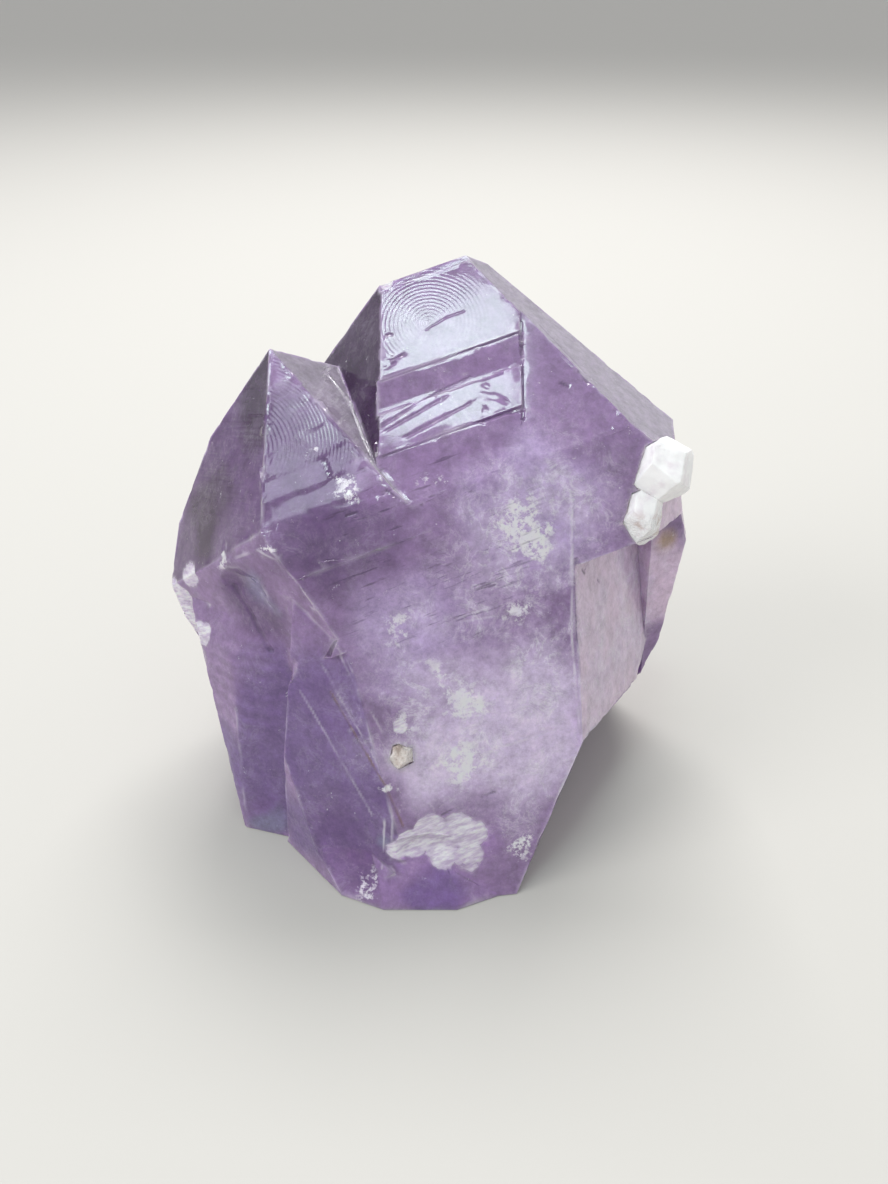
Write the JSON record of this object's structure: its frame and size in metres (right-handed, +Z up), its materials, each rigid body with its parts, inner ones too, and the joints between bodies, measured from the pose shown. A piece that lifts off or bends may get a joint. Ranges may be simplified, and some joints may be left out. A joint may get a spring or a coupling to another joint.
{
  "type": "amethyst crystal cluster",
  "caption": "Free-standing amethyst cluster of intergrown purple quartz points with a white quartz crystal on its shoulder, broken flat underneath so that it stands.",
  "frame": {"origin": "on the flat base, under the middle of the outline", "axes": "+Z up, -Y towards the front with the large pale faces, +X to the right"},
  "size_m": [0.1296, 0.1076, 0.1244],
  "materials": {
    "amethyst": "glossy",
    "white_quartz": "satin",
    "grain_quartz": "matt"
  },
  "bodies": {
    "root": {"amethyst_cluster": "amethyst", "white_quartz_crystal": "white_quartz", "white_quartz_grain": "grain_quartz"}
  },
  "joints": []
}
